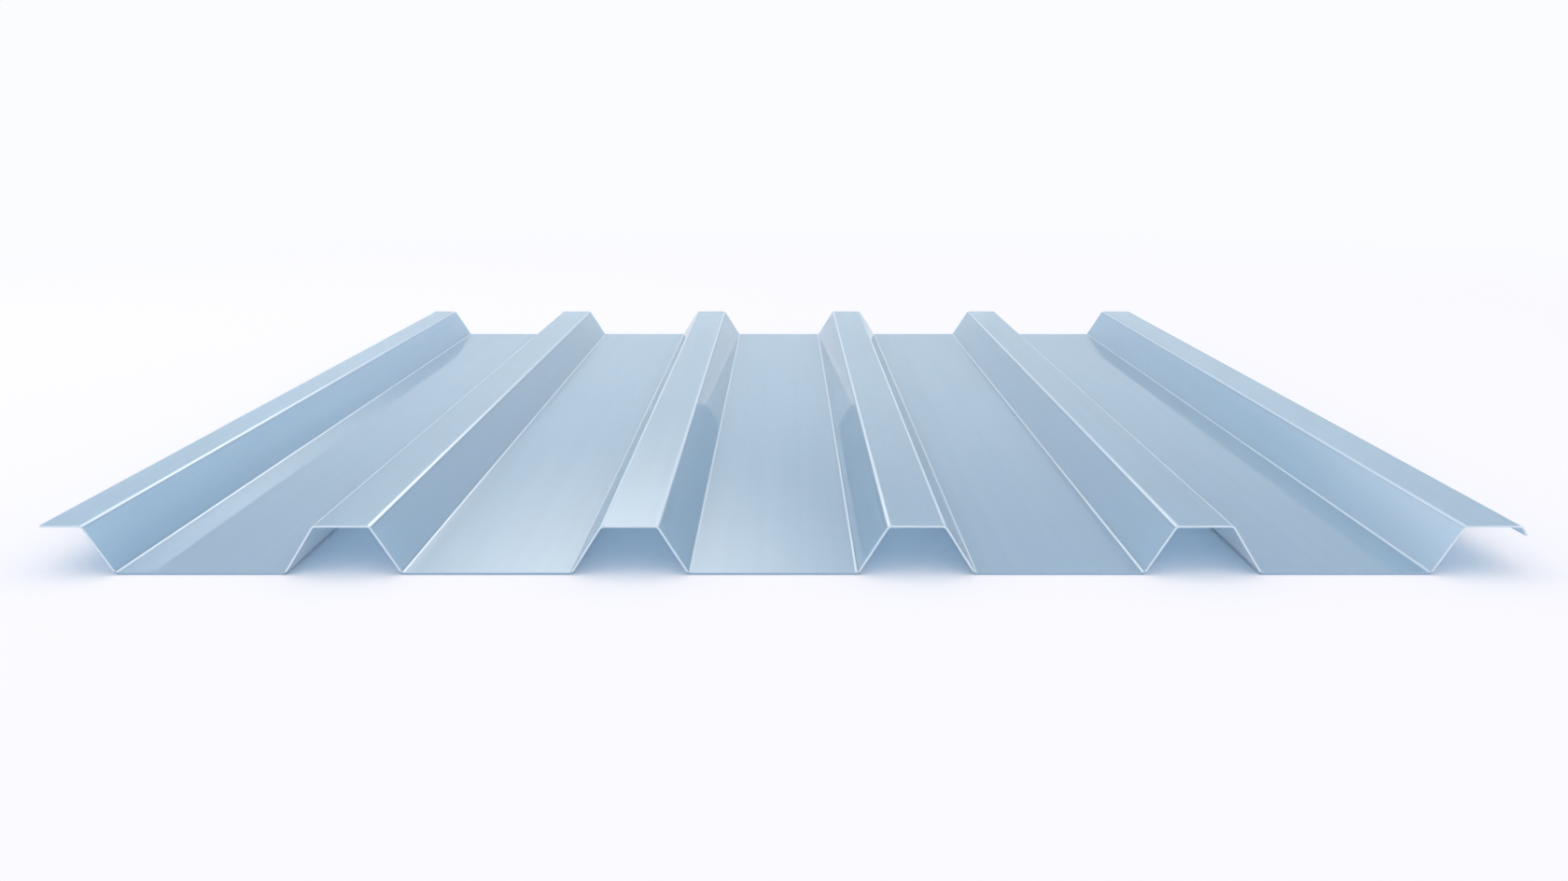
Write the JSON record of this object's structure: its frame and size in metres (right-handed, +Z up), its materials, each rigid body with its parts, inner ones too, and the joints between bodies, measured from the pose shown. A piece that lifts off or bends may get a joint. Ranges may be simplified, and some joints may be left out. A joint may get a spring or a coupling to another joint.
{
  "type": "translucent pvc roofing sheet",
  "caption": "Flat-lying translucent PVC roofing sheet formed into wide flat pans and narrow trapezoidal ribs, with an overlap flange on one edge and a turned-down lip on the other.",
  "frame": {"origin": "centre of the bounding box, at the level of the pan undersides", "axes": "+Y along the ribs, +X across them from the overlap flange to the turned-down lip, +Z up from the pans to the crowns"},
  "size_m": [1.0698, 1.275, 0.0365],
  "materials": {
    "pvc": "glossy extruded translucent PVC-U, pale blue"
  },
  "bodies": {
    "root": {"sheet": "pvc"}
  },
  "joints": []
}
